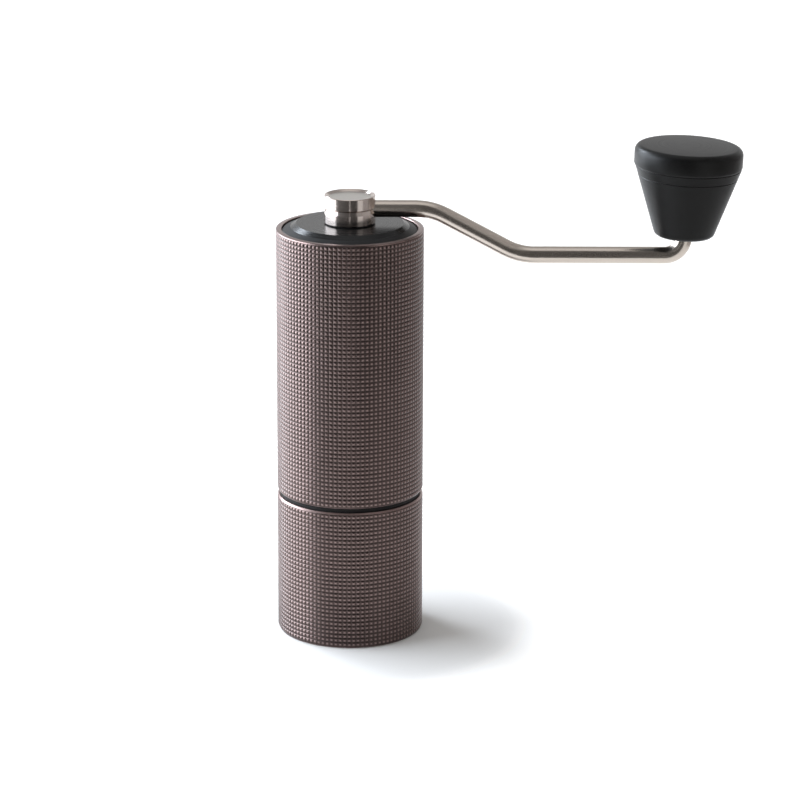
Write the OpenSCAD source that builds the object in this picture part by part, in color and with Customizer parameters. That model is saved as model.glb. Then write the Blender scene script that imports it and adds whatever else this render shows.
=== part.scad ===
// Hand crank coffee grinder: a slim round body that screws onto a catch cup,
// with a lift-off lid, a cranked handle and a conical burr set inside.
// Millimetres, +Z up, the origin under the middle of the foot.

/* [Body] */
// Outside diameter of the sleeve and the cup
body_d = 52; // [50:0.5:58]
// Height of the sleeve rim above the table
body_h = 147.5; // [140:0.5:170]
// Wall of the outer sleeve
sleeve_wall = 2; // [1.6:0.1:2.4]
// Wall of the bean tube inside the sleeve
tube_wall = 1.4; // [1:0.1:1.8]
// Bevel round the rim of the sleeve and the mouth of the cup
rim_bevel = 0.5; // [0.2:0.1:0.8]

/* [Cup] */
// Height of the mouth of the catch cup above the table
cup_h = 50.5; // [48:0.5:58]
// Wall of the cup
cup_wall = 2; // [1.6:0.1:2.4]
// Thickness of the cup's floor
cup_floor = 3; // [2.4:0.1:4]
// Radius in the corner between the cup's floor and its wall
cup_corner = 4; // [2:0.5:6]
// Open seam between the cup and the sleeve
seam = 1.7; // [1.2:0.1:3]
// How far the rubber seam ring lies inside the outside face
seam_inset = 1.1; // [0.8:0.1:1.6]
// How far the collar reaches down into the cup
thread_h = 8; // [6:0.5:10]
// Diameter of the rubber foot pad
pad_d = 44; // [30:1:45]
// Thickness of the foot pad
pad_h = 1.4; // [1:0.1:1.8]
// How far the pad stands proud of the cup
pad_proud = 0.2; // [0.1:0.1:0.6]

/* [Collar and burr housing] */
// Wall of the threaded collar
collar_wall = 2; // [1.6:0.1:2.4]
// Height of the lip that holds the outer burr up
lip_h = 3.5; // [2.5:0.5:5]
// Height of the outer burr
ring_h = 16; // [15:0.5:19]
// Height of the three-armed burr housing
housing_h = 12; // [11.5:0.5:16]
// Wall of the funnel at the top of the housing
funnel_wall = 2.5; // [1.6:0.1:3.5]
// Width of the arms of the housing and the top spider
arm_w = 4; // [3:0.5:6]
// Diameter of the pins that key the outer burr
pin_d = 3; // [2:0.5:3.5]
// Length of those pins
pin_l = 6; // [4:0.5:8]

/* [Burrs] */
// Wall of the outer burr at its mouth
burr_wall = 2; // [1.6:0.1:3]
// How much the band of fine teeth narrows, on the radius
fine_taper = 3; // [2:0.1:3.6]
// Height of the band of fine teeth
fine_h = 7; // [5:0.5:8]
// How much the throat narrows above the fine teeth, on the radius
throat_taper = 1.2; // [0.6:0.1:2]
// Height of the crushing cone above the fine teeth
crush_h = 11; // [10:0.5:12]
// Wall of the inner burr's crown round its spring
crown_wall = 3; // [2.8:0.1:3.4]
// Number of fine teeth
fine_teeth = 36; // [24:1:44]
// Depth of the fine teeth
fine_depth = 1; // [0.5:0.1:1.2]
// Share of a fine tooth's pitch that is cut away
fine_share = 0.8; // [0.5:0.05:0.9]
// Number of coarse crushing flutes
coarse_teeth = 7; // [5:1:9]
// Depth of the coarse flutes halfway up
coarse_depth = 2.6; // [1.5:0.1:2.8]
// Width of the coarse flutes, measured flat
coarse_w = 14; // [8:0.5:20]
// Slant of the teeth from the upright
tooth_slant = 26; // [10:1:32]
// Depth of the feeding flutes in the throat halfway up
feed_depth = 1.2; // [0.8:0.1:1.3]
// Width of the feeding flutes, measured flat
feed_w = 2.4; // [1.5:0.1:2.6]
// Gap between the burrs when they are closed, on the radius
burr_gap = 0.25; // [0.2:0.05:0.5]

/* [Adjustment] */
// Pitch of the adjusting thread on the shaft
adjust_pitch = 1; // [0.75:0.25:1.25]
// Turns of the dial from coarse to closed
adjust_turns = 2; // [1:0.5:2]
// Diameter of the adjusting dial
dial_d = 31; // [28:0.5:36]
// Height of the adjusting dial
dial_h = 7; // [6:0.5:9]
// Clicks in one turn of the dial
clicks = 12; // [8:1:16]
// Thickness of the click plate under the inner burr
click_plate_h = 1; // [0.8:0.1:1.6]
// Diameter of the detent balls
detent_d = 2.4; // [2:0.1:2.6]
// Diameter of the brass nut in the dial
nut_d = 13; // [12:0.5:14]
// Number of finger grips round the dial
grips = 16; // [10:1:20]
// Radius of those grips
grip_r = 2.4; // [1.5:0.1:2.6]

/* [Shaft and bearings] */
// Diameter of the drive shaft
shaft_d = 8; // [7:0.5:8]
// Outside diameter of the ball bearings
bearing_d = 16; // [15.5:0.5:18]
// Width of the ball bearings
bearing_w = 5; // [4:0.5:6]
// Diameter of the balls
ball_d = 2.3; // [2:0.1:2.4]
// Number of balls in a bearing
ball_count = 10; // [7:1:11]
// Wall of the bearing seats in the housing and the top spider
seat_wall = 2.2; // [1.6:0.1:3]
// How far the top spider stands below the bean tube's rim
spider_drop = 10; // [9.5:0.5:20]
// Height of the top spider
spider_h = 7; // [6.5:0.5:9]
// Wire of the burr spring
spring_wire = 1.1; // [0.8:0.1:1.2]
// Turns of the burr spring
spring_turns = 6; // [5:1:8]

/* [Lid] */
// Depth of the lid's seat below the sleeve's rim
lid_sink = 3.2; // [2.6:0.1:5]
// Height of the lid's top above the sleeve's rim
lid_rise = 1.85; // [1:0.05:4]
// Width of the sloping border of the lid
lid_border = 2.8; // [2:0.1:4]
// Width of the bevel from the border up to the lid's top
lid_bevel = 2; // [1:0.1:2.4]
// Length of the skirt that goes down into the bean tube
skirt_h = 5; // [4.5:0.5:6]
// Wall of that skirt
skirt_wall = 2.6; // [2.2:0.1:3.5]
// Thickness of the lid's seal ring
seal_d = 1.6; // [1.2:0.1:1.8]

/* [Crank] */
// Diameter of the crank's hub
hub_d = 18; // [16:0.5:22]
// Height of the crank's hub above the lid
hub_h = 9.9; // [9.5:0.1:12]
// Diameter of the crank's rod
rod_d = 6; // [5:0.25:6]
// Height of the rod's middle above the underside of the hub
rod_rise = 4.9; // [4.6:0.1:5.2]
// Distance from the body's axis to the foot of the knob
reach = 116.9; // [95:0.5:140]
// How far the rod drops on its way out
rod_drop = 16.5; // [10:0.1:22]
// Distance from the body's axis to the first bend's corner
bend_start = 28.5; // [22:0.5:40]
// Slope of the rod between its bends
rod_slope = 28.2; // [20:0.2:40]
// Radius of the two gentle bends
bend_r = 22; // [12:1:26]
// Radius of the bend up to the knob
turn_r = 6.6; // [6:0.1:6.8]
// Diameter of the drive spigot under the hub
spigot_d = 11; // [10.5:0.1:12]
// Depth of the hexagonal socket in that spigot
socket_deep = 8; // [6:0.5:8.5]
// Height of the middle of the hub's V groove above its underside
groove_rise = 5; // [4:0.1:6]
// Length of the screw in the end of the rod, below its head
knob_screw_l = 7.8; // [6:0.2:9]

/* [Knob] */
// Largest diameter of the knob
knob_d = 38.2; // [32:0.2:44]
// Diameter of the knob at its foot, before its edge is rounded
knob_foot_d = 20.4; // [18:0.2:24]
// Height of the knob to the middle of its domed top
knob_h = 32.9; // [30:0.1:38]
// Height of the knob's body below its cap
knob_body_h = 24.9; // [24:0.1:27]
// Height of the fine groove round the knob's body
knob_groove_z = 21.6; // [19:0.1:23]
// Depth of the fine groove and of the seam under the cap
knob_groove = 0.22; // [0.1:0.02:0.4]
// Height to which the knob tapers before it turns upright
taper_h = 26.4; // [25:0.1:28.5]
// Rise of the dome on the knob's top
knob_dome = 0.9; // [0.3:0.1:2]
// Radius of the edge round the knob's top
knob_edge = 1.1; // [0.8:0.1:2.6]
// Radius round the knob's foot
knob_foot_r = 2.3; // [1:0.1:3]
// Lean of the knob's axis outwards from the upright
knob_lean = 2.4; // [0:0.1:6]
// Height of the foot of the knob above the outer run of the rod
knob_lift = 7.1; // [6.8:0.1:9]

/* [Clearances] */
// Running clearance of a shaft in a bore, on the radius
run_gap = 0.08; // [0.05:0.01:0.1]
// Gap between two bodies that pass each other
free_gap = 0.3; // [0.25:0.05:0.4]
// Gap between flat faces of two bodies
face_gap = 0.15; // [0.1:0.05:0.2]

/* [Hidden] */
$fn = 72;
eps = 0.01;

// radii of the round body, from outside to inside
body_r = body_d / 2;
bore_r = body_r - sleeve_wall;
tube_r = bore_r - tube_wall;
cup_r = body_r - cup_wall;
collar_r = min(cup_r, bore_r) - free_gap;
collar_bore_r = collar_r - collar_wall;
ring_r = collar_bore_r - run_gap;

// heights of the body's pieces, from the foot up
sleeve_z = cup_h + seam;
collar_z = cup_h - thread_h;
ring_z = collar_z + lip_h;
housing_z = ring_z + ring_h;
tube_z = housing_z + housing_h;
lid_seat_z = body_h - lid_sink;
lid_top_z = body_h + lid_rise;
spider_z = lid_seat_z - spider_drop - spider_h;

// the burr spring's radii, and those of its seat in the inner burr
shaft_r = shaft_d / 2;
spring_r = shaft_r + 0.75 + spring_wire / 2;
spring_seat_r = spring_r + spring_wire / 2 + 0.6;

// the burrs, from the collar inwards, and their travel from coarse to closed
travel = adjust_pitch * adjust_turns;
mouth_r = ring_r - burr_wall;
waist_r = mouth_r - fine_taper;
throat_r = waist_r - throat_taper;
burr_r = mouth_r - burr_gap;
fine_r = waist_r - burr_gap;
crown_r = spring_seat_r + crown_wall;
lip_r = mouth_r + free_gap + burr_gap;
burr_foot = 1;
burr_z = ring_z - burr_foot - travel;
burr_fine_z = burr_z + burr_foot;
burr_waist_z = burr_fine_z + fine_h;
burr_top_z = burr_waist_z + crush_h;
pin_at = (ring_r + throat_r) / 2 + 0.6;

// how the teeth lie on their cones: the flutes run deeper towards their feet
fine_lean = atan(fine_taper / fine_h);
flute_lean = atan((fine_r - crown_r) / crush_h) - 4;
fine_w = fine_share * 360 / fine_teeth * PI / 180 * fine_r;
fine_end = fine_h * 0.85;
fine_run_out = fine_h * 1.4;
flute_end = crush_h * 0.8;
flute_run_out = crush_h * 1.1;
feed_z = (fine_h + ring_h) / 2;
feed_end = (ring_h - fine_h) * 0.7;

// bearings: pitch radius, race radii, and their heights
bearing_r = bearing_d / 2;
pitch_r = (shaft_r + bearing_r) / 2;
race_gap = ball_d * 0.78;
inner_race_r = pitch_r - race_gap / 2;
outer_race_r = pitch_r + race_gap / 2;
seat_r = bearing_r + seat_wall;
seat_lip = 1.5;
shield = 0.3;
shield_in = 0.3;
low_bearing_z = tube_z - 1 - seat_lip - bearing_w;
top_bearing_z = spider_z + spider_h - bearing_w;

// circlips and washers
clip_h = 0.8;
clip_deep = 0.5;
clip_wall = 1.1;
washer_h = 0.8;
shaft_clip_z = top_bearing_z + bearing_w;

// the burr spring, between its washer and the seat in the inner burr
spring_seat_deep = 11;
spring_z = burr_top_z - spring_seat_deep;
washer_z = low_bearing_z - washer_h;

// the dial, hung under the click plate
click_z = burr_z - click_plate_h;
dial_top_z = click_z - face_gap;
dial_z = dial_top_z - dial_h;
dial_r = dial_d / 2;
nut_r = nut_d / 2;
detent_r = detent_d / 2;
detent_proud = 0.1;
detent_at = nut_r + 2 + detent_r;
click_plate_r = detent_at + detent_r + 1.4;
pocket_deep = dial_h - 2;
stop_gap = 0.6;
stop_z = dial_z - stop_gap - clip_h;
shaft_end_z = stop_z - 0.6;
flat_half = shaft_r * 0.85;
flat_top_z = burr_top_z + travel + 0.4;

// the hexagonal drive at the top of the shaft
hex_corner_r = shaft_r - 0.05;
hex_fit_r = hex_corner_r + 0.12;
lid_washer_h = 0.3;
lid_washer_in = 0.25;
hub_z = lid_top_z + lid_washer_h - lid_washer_in + face_gap;
hex_top_z = hub_z - 2.4;
hex_spare = 1.6;
socket_z = hex_top_z - socket_deep;
hex_z = socket_z - hex_spare;
spigot_r = spigot_d / 2;
flange_h = 2;
flange_r = spigot_r + 1.6;

// the lid
lid_r = bore_r - free_gap;
border_r = lid_r - lid_border;
plateau_r = border_r - lid_bevel;
border_z = lid_top_z - 1.25;
edge_z = border_z - 1;
skirt_r = tube_r - free_gap;
skirt_z = lid_seat_z - skirt_h;
lid_web = 3;
bush_wall = 1.4;
bush_r = spigot_r + run_gap + bush_wall;
bush_z = socket_z + flange_h + face_gap;
boss_r = bush_r + 1.6;
seal_z = skirt_z + skirt_h / 2;
seal_r = skirt_r - seal_d / 2 + free_gap - run_gap;

// the crank: the rod's line, seen from the side
hub_r = hub_d / 2;
hub_top_z = hub_z + hub_h;
rod_r = rod_d / 2;
rod_in = 4.3;
rod_z = hub_z + rod_rise;
rod_low_z = rod_z - rod_drop;
bend_tan = bend_r * tan(rod_slope / 2);
bend_end = bend_start + rod_drop / tan(rod_slope);
slope_l = rod_drop / sin(rod_slope) - 2 * bend_tan;
knob_z = rod_low_z + knob_lift;
turn_corner = reach - knob_lift * tan(knob_lean);
turn_a = 90 - knob_lean;
turn_tan = turn_r * tan(turn_a / 2);
bend_slack = 0.02;
groove_half = 0.85;
groove_deep = 0.65;
groove_z = hub_z + groove_rise;
cap_lip = 0.45;
cap_bevel = 1.15;
cap_sunk = 0.7;
cap_h = 0.8;
cap_r = hub_r - cap_lip - cap_bevel;
cap_z = hub_top_z - cap_sunk - cap_h;
hub_screw_r = 2;
hub_screw_head_r = 3.5;
hub_screw_head_h = 2.2;
hub_screw_z = cap_z - 0.15 - hub_screw_head_h;
boss_hex_r = 3.8;
boss_hex_h = 3;

// the knob, measured along its own axis from its foot
knob_r = knob_d / 2;
foot_corner_r = knob_foot_d / 2;
taper_a = atan((knob_r - foot_corner_r) / taper_h);
foot_round = knob_foot_r / tan((90 + taper_a) / 2);
spindle_top = 20;
screw_head_h = 2.4;
screw_head_r = 2.75;
screw_r = 1.5;
screw_tip = spindle_top + washer_h - knob_screw_l;
bush_out_r = rod_r + run_gap + 1.3;
bush_at = 1.2;
bush_l = spindle_top - face_gap - bush_at;
knob_washer_r = 4.6;
well_r = knob_washer_r + 1.2;
plug_h = 2.2;
plug_r = well_r + 3;

// ---- shapes used by more than one piece ----

module ring(r_out, r_in, h) {
    difference() {
        cylinder(r = r_out, h = h);
        translate([0, 0, -1]) cylinder(r = r_in, h = h + 2);
    }
}

module circlip(r_in, r_out, h) {
    difference() {
        ring(r_out, r_in, h);
        translate([0, -r_in * 0.35, -1]) cube([r_out + 1, r_in * 0.7, h + 2]);
    }
}

module spider_arms(r_in, r_out, w, h) {
    for (a = [90, 210, 330])
        rotate(a) translate([r_in, -w / 2, 0]) cube([r_out - r_in, w, h]);
}

// a groove round a bearing race for its balls
module ball_track() {
    translate([0, 0, bearing_w / 2])
        rotate_extrude() translate([pitch_r, 0]) circle(r = ball_d / 2 + 0.05, $fn = 32);
}

module bearing_outer() {
    difference() {
        union() {
            ring(bearing_r, outer_race_r, bearing_w);
            for (z = [shield_in, bearing_w - shield_in - shield])
                translate([0, 0, z]) ring(outer_race_r + eps, inner_race_r + free_gap, shield);
        }
        ball_track();
    }
}

module bearing_inner() {
    difference() {
        ring(inner_race_r, shaft_r, bearing_w);
        ball_track();
    }
}

module bearing_balls() {
    for (i = [0:ball_count - 1])
        rotate(i * 360 / ball_count) translate([pitch_r, 0, bearing_w / 2]) sphere(d = ball_d, $fn = 32);
}

// points of a helix's wall: rings of sides round a coil of wire
function coil_point(r, wire, pitch, t, u) =
    let (q = r + wire / 2 * cos(u)) [q * cos(t), q * sin(t), pitch * t / 360 + wire / 2 * sin(u)];

module coil(r, wire, h, turns, steps = 16, sides = 8) {
    rings = turns * steps;
    pitch = (h - wire) / turns;
    points = [for (i = [0:rings]) for (j = [0:sides - 1])
        coil_point(r, wire, pitch, i * 360 / steps, j * 360 / sides)];
    walls = [for (i = [0:rings - 1]) for (j = [0:sides - 1])
        let (k = (j + 1) % sides)
        [i * sides + j, (i + 1) * sides + j, (i + 1) * sides + k, i * sides + k]];
    start_cap = [[for (j = [0:sides - 1]) j]];
    end_cap = [[for (j = [sides - 1:-1:0]) rings * sides + j]];
    translate([0, 0, wire / 2]) polyhedron(points, concat(walls, start_cap, end_cap));
}

// ---- the body ----

module outer_sleeve() {
    h = body_h - sleeve_z;
    color("dimgray") translate([0, 0, sleeve_z]) rotate_extrude()
        polygon([
            [bore_r, 0], [body_r - 0.3, 0], [body_r, 0.3],
            [body_r, h - rim_bevel], [body_r - rim_bevel, h],
            [bore_r + 0.15, h], [bore_r, h - 0.15]
        ]);
}

module bean_tube() {
    color("silver") translate([0, 0, tube_z]) ring(bore_r, tube_r, lid_seat_z - tube_z);
}

module top_spider() {
    color("gray") translate([0, 0, spider_z]) difference() {
        union() {
            ring(tube_r, tube_r - 1.6, spider_h);
            translate([0, 0, 1]) spider_arms(seat_r - 1, tube_r - 1, arm_w, spider_h - 2);
            cylinder(r = seat_r, h = spider_h);
        }
        translate([0, 0, spider_h - bearing_w]) cylinder(r = bearing_r, h = bearing_w + 1);
        translate([0, 0, -1]) cylinder(r = outer_race_r + 0.2, h = spider_h + 2);
    }
}

module top_bearing_outer() {
    color("lightgray") translate([0, 0, top_bearing_z]) bearing_outer();
}

module top_bearing_balls() {
    color("white") translate([0, 0, top_bearing_z]) bearing_balls();
}

module burr_housing() {
    funnel_r = bore_r - funnel_wall;
    hub_h_low = seat_lip + bearing_w + 0.5;
    hub_low_z = tube_z - 1 - hub_h_low;
    color("darkgray") difference() {
        union() {
            translate([0, 0, housing_z]) difference() {
                cylinder(r = bore_r, h = housing_h);
                translate([0, 0, -eps]) cylinder(r1 = throat_r + 0.4, r2 = funnel_r, h = housing_h + 2 * eps);
            }
            translate([0, 0, hub_low_z]) cylinder(r = seat_r, h = hub_h_low);
            translate([0, 0, hub_low_z]) spider_arms(seat_r - 1, funnel_r + 0.5, arm_w, hub_h_low - 1);
        }
        translate([0, 0, hub_low_z - 1]) cylinder(r = bearing_r, h = low_bearing_z + bearing_w - hub_low_z + 1);
        translate([0, 0, hub_low_z - 1]) cylinder(r = outer_race_r + 0.2, h = hub_h_low + 2);
        pin_holes();
    }
}

module pin_places() {
    for (a = [30, 150, 270])
        rotate(a) translate([pin_at, 0, housing_z - pin_l / 2]) children();
}

module pin_holes() {
    pin_places() translate([0, 0, -0.2]) cylinder(d = pin_d, h = pin_l + 0.4, $fn = 32);
}

module burr_pins() {
    color("silver") pin_places() cylinder(d = pin_d, h = pin_l, $fn = 32);
}

module low_bearing_outer() {
    color("lightgray") translate([0, 0, low_bearing_z]) bearing_outer();
}

module low_bearing_balls() {
    color("white") translate([0, 0, low_bearing_z]) bearing_balls();
}

module thread_collar() {
    color("#222222") difference() {
        union() {
            translate([0, 0, collar_z]) rotate_extrude()
                polygon([[0, 0], [collar_r - 0.6, 0], [collar_r, 0.6], [collar_r, sleeve_z - collar_z], [0, sleeve_z - collar_z]]);
            translate([0, 0, sleeve_z]) cylinder(r = bore_r, h = housing_z - sleeve_z);
        }
        translate([0, 0, ring_z]) cylinder(r = collar_bore_r, h = housing_z - ring_z + 1);
        translate([0, 0, collar_z - 1]) cylinder(r = lip_r, h = lip_h + 2);
    }
}

module seam_ring() {
    color("black") translate([0, 0, cup_h + face_gap / 2])
        ring(body_r - seam_inset, collar_r + run_gap, seam - face_gap);
}

// ---- the cup ----

module catch_cup() {
    h = cup_h - pad_proud;
    color("dimgray") translate([0, 0, pad_proud]) difference() {
        rotate_extrude()
            polygon([
                [0, 0], [body_r - 0.3, 0], [body_r, 0.3],
                [body_r, h - rim_bevel], [body_r - rim_bevel, h], [0, h]
            ]);
        translate([0, 0, cup_floor]) rotate_extrude() {
            square([cup_r - cup_corner, h]);
            translate([0, cup_corner]) square([cup_r, h]);
            translate([cup_r - cup_corner, cup_corner]) circle(r = cup_corner);
        }
        translate([0, 0, h - rim_bevel]) cylinder(r1 = cup_r, r2 = cup_r + rim_bevel + eps, h = rim_bevel + eps);
        translate([0, 0, -1]) cylinder(d = pad_d, h = pad_h - pad_proud + 1);
    }
}

module foot_pad() {
    color("black") cylinder(d = pad_d, h = pad_h);
}

// ---- the burrs and their teeth ----

// One slanted tooth cut, deep below a cone's face at radius r. Its steep face is
// the cutting edge, and its floor comes up to the face again w further back.
// It runs on below and above the point that it is placed at.
module tooth_cut(r, lean, deep, w, below, above) {
    translate([r, 0, 0]) rotate([0, -lean, 0]) rotate([tooth_slant, 0, 0])
        translate([0, 0, -below]) linear_extrude(below + above)
            polygon([[-deep, 0], [2 * deep, -3 * w], [2 * deep, 0.9 * deep]]);
}

// the same cut from inside a ring, where it slants and faces the other way
module ring_cut(r, lean, deep, w, below, above) {
    rotate(180) tooth_cut(-r, -lean, deep, w, below, above);
}

module inner_burr() {
    color("slategray") translate([0, 0, burr_z]) difference() {
        rotate_extrude()
            polygon([
                [0, 0], [burr_r - 0.5, 0], [burr_r, 0.5], [burr_r, burr_foot],
                [fine_r, burr_foot + fine_h], [crown_r, burr_foot + fine_h + crush_h],
                [0, burr_foot + fine_h + crush_h]
            ]);
        for (i = [0:fine_teeth - 1])
            rotate(i * 360 / fine_teeth) translate([0, 0, burr_foot + fine_h / 2])
                tooth_cut((burr_r + fine_r) / 2, fine_lean, fine_depth, fine_w, fine_end, fine_run_out);
        for (i = [0:coarse_teeth - 1])
            rotate(i * 360 / coarse_teeth) translate([0, 0, burr_foot + fine_h + crush_h / 2])
                tooth_cut((fine_r + crown_r) / 2, flute_lean, coarse_depth, coarse_w, flute_end, flute_run_out);
        shaft_bore(burr_foot + fine_h + crush_h);
        translate([0, 0, spring_z - burr_z]) cylinder(r = spring_seat_r, h = spring_seat_deep + 1);
    }
}

// a bore that slides on the flatted end of the shaft
module shaft_bore(h) {
    half = flat_half + run_gap;
    intersection() {
        translate([0, 0, -1]) cylinder(r = shaft_r + run_gap, h = h + 2);
        translate([-half, -bearing_d, -1]) cube([2 * half, 2 * bearing_d, h + 2]);
    }
}

module outer_burr() {
    color("slategray") translate([0, 0, ring_z]) difference() {
        rotate_extrude()
            polygon([
                [mouth_r, 0], [ring_r - 0.4, 0], [ring_r, 0.4], [ring_r, ring_h],
                [throat_r, ring_h], [waist_r, fine_h]
            ]);
        for (i = [0:fine_teeth - 1])
            rotate((i + 0.5) * 360 / fine_teeth) translate([0, 0, fine_h / 2])
                ring_cut((mouth_r + waist_r) / 2, fine_lean, fine_depth, fine_w, fine_end, fine_end);
        for (i = [0:coarse_teeth - 1])
            rotate((i + 0.5) * 360 / coarse_teeth) translate([0, 0, feed_z])
                ring_cut((waist_r + throat_r) / 2, 0, feed_depth, feed_w, feed_end, feed_end);
        translate([0, 0, -ring_z]) pin_holes();
    }
}

// ---- the shaft ----

module drive_shaft() {
    color("silver") difference() {
        union() {
            translate([0, 0, shaft_end_z]) cylinder(r = shaft_r, h = hex_z - shaft_end_z);
            translate([0, 0, hex_z - eps]) cylinder(r = hex_corner_r, h = hex_top_z - hex_z + eps, $fn = 6);
        }
        for (s = [0, 180])
            rotate(s) translate([flat_half, -shaft_d, shaft_end_z - 1]) cube([shaft_d, 2 * shaft_d, flat_top_z - shaft_end_z + 1]);
        translate([0, 0, shaft_clip_z]) ring(shaft_d, shaft_r - clip_deep, clip_h);
        translate([0, 0, stop_z]) ring(shaft_d, shaft_r - clip_deep, clip_h);
    }
}

module top_bearing_inner() {
    color("lightgray") translate([0, 0, top_bearing_z]) bearing_inner();
}

module low_bearing_inner() {
    color("lightgray") translate([0, 0, low_bearing_z]) bearing_inner();
}

module shaft_clip() {
    color("black") translate([0, 0, shaft_clip_z])
        rotate(90) circlip(shaft_r - clip_deep, shaft_r + clip_wall, clip_h);
}

module spring_washer() {
    color("silver") translate([0, 0, washer_z]) ring(spring_r + spring_wire / 2 + 0.3, shaft_r, washer_h);
}

module burr_spring() {
    color("silver") translate([0, 0, spring_z]) coil(spring_r, spring_wire, washer_z - spring_z, spring_turns);
}

module stop_ring() {
    color("black") translate([0, 0, stop_z])
        rotate(90) circlip(shaft_r - clip_deep, shaft_r + clip_wall, clip_h);
}

module click_plate() {
    color("silver") translate([0, 0, click_z]) difference() {
        cylinder(r = click_plate_r, h = click_plate_h);
        shaft_bore(click_plate_h);
        for (i = [0:clicks - 1])
            rotate(i * 360 / clicks) translate([detent_at, 0, -detent_r * 0.45]) sphere(r = detent_r, $fn = 32);
    }
}

// ---- the dial ----

module detent_places() {
    for (i = [0:2])
        rotate(i * 120) translate([detent_at, 0, 0]) children();
}

module adjust_dial() {
    color("#333333") translate([0, 0, dial_z]) difference() {
        rotate_extrude()
            polygon([
                [0, 0], [dial_r - 1, 0], [dial_r, 1], [dial_r, dial_h - 1], [dial_r - 1, dial_h], [0, dial_h]
            ]);
        translate([0, 0, -1]) cylinder(r = shaft_r + free_gap + 0.4, h = dial_h + 2);
        translate([0, 0, 1.5]) cylinder(r = nut_r, h = dial_h);
        for (i = [0:grips - 1])
            rotate(i * 360 / grips) translate([dial_r + grip_r * 0.7, 0, -1]) cylinder(r = grip_r, h = dial_h + 2, $fn = 32);
        translate([0, 0, dial_h - pocket_deep]) detent_places() cylinder(r = detent_r + run_gap, h = pocket_deep + 1, $fn = 32);
    }
}

module dial_nut() {
    color("gold") translate([0, 0, dial_z + 1.5]) ring(nut_r, shaft_r + run_gap, dial_h - 1.5);
}

module detent_balls() {
    color("white") translate([0, 0, dial_top_z + detent_proud - detent_r]) detent_places() sphere(r = detent_r, $fn = 32);
}

module detent_springs() {
    foot_z = dial_top_z - pocket_deep;
    l = dial_top_z + detent_proud - 1.9 * detent_r - foot_z;
    wire = 0.4;
    color("silver") translate([0, 0, foot_z]) detent_places()
        coil(detent_r - wire / 2 - 0.1, wire, l, 4, steps = 10, sides = 6);
}

// ---- the lid ----

module lid_cover() {
    color("#2a2a2a") difference() {
        union() {
            rotate_extrude()
                polygon([
                    [0, lid_seat_z], [lid_r, lid_seat_z], [lid_r, edge_z - 0.25], [lid_r - 0.3, edge_z],
                    [border_r, border_z], [plateau_r, lid_top_z], [0, lid_top_z]
                ]);
            translate([0, 0, skirt_z]) difference() {
                cylinder(r = skirt_r, h = skirt_h + eps);
                translate([0, 0, -1]) cylinder(r = skirt_r - skirt_wall, h = skirt_h + 1);
            }
            translate([0, 0, bush_z]) cylinder(r = boss_r, h = lid_seat_z - bush_z + eps);
        }
        translate([0, 0, lid_seat_z - 1]) ring(skirt_r - skirt_wall, boss_r, lid_top_z - lid_web - lid_seat_z + 1);
        translate([0, 0, bush_z - 1]) cylinder(r = bush_r, h = lid_top_z - bush_z + 2);
        translate([0, 0, lid_top_z - lid_washer_in]) cylinder(r = hub_r - 0.5, h = 1);
        translate([0, 0, seal_z]) rotate_extrude() translate([seal_r, 0]) circle(d = seal_d, $fn = 32);
    }
}

module lid_seal() {
    color("black") translate([0, 0, seal_z]) rotate_extrude() translate([seal_r, 0]) circle(d = seal_d, $fn = 32);
}

module lid_bush() {
    color("tan") translate([0, 0, bush_z]) ring(bush_r, spigot_r + run_gap, lid_top_z - lid_washer_in - bush_z);
}

module lid_washer() {
    color("black") translate([0, 0, lid_top_z - lid_washer_in])
        ring(hub_r - 0.5, spigot_r + free_gap, lid_washer_h);
}

// ---- the crank ----

module crank_hub() {
    color("silver") difference() {
        rotate_extrude()
            polygon([
                [0, hub_z], [hub_r - 0.3, hub_z], [hub_r, hub_z + 0.3],
                [hub_r, groove_z - groove_half - 0.2], [hub_r - groove_deep, groove_z + 0.2],
                [hub_r, groove_z + groove_half],
                [hub_r, hub_top_z - 0.2], [hub_r - 0.2, hub_top_z],
                [hub_r - cap_lip, hub_top_z], [cap_r, hub_top_z - cap_sunk],
                [cap_r, cap_z], [0, cap_z]
            ]);
        translate([0, 0, hub_z - 1]) cylinder(r = boss_hex_r, h = boss_hex_h + 1, $fn = 6);
        translate([0, 0, hub_z]) cylinder(r = hub_screw_r, h = hub_h);
        translate([0, 0, hub_screw_z]) cylinder(r = hub_screw_head_r + 0.2, h = hub_h);
        translate([rod_in, 0, rod_z]) rotate([0, 90, 0]) cylinder(r = rod_r, h = hub_r);
    }
}

// spindle under the hub: it turns in the lid's bush and drives the shaft's hexagon
module drive_socket() {
    thread_z = hex_top_z + 1;
    color("gray") difference() {
        union() {
            translate([0, 0, socket_z]) cylinder(r = flange_r, h = flange_h);
            translate([0, 0, socket_z]) cylinder(r = spigot_r, h = hub_z - socket_z);
            translate([0, 0, hub_z - eps]) cylinder(r = boss_hex_r, h = boss_hex_h + eps, $fn = 6);
        }
        translate([0, 0, socket_z - 1]) cylinder(r = hex_fit_r, h = hex_top_z - socket_z + 1.5, $fn = 6);
        translate([0, 0, thread_z]) cylinder(r = hub_screw_r, h = hub_h);
    }
}

module hub_screw() {
    tip_z = hex_top_z + 1.2;
    color("black") difference() {
        union() {
            translate([0, 0, tip_z]) cylinder(r = hub_screw_r, h = hub_screw_z - tip_z + eps);
            translate([0, 0, hub_screw_z]) cylinder(r = hub_screw_head_r, h = hub_screw_head_h);
        }
        translate([0, 0, hub_screw_z + 0.8]) cylinder(r = 1.6, h = hub_screw_head_h, $fn = 6);
    }
}

module hub_cap() {
    color("lightgray") translate([0, 0, cap_z]) cylinder(r = cap_r, h = cap_h);
}

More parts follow.
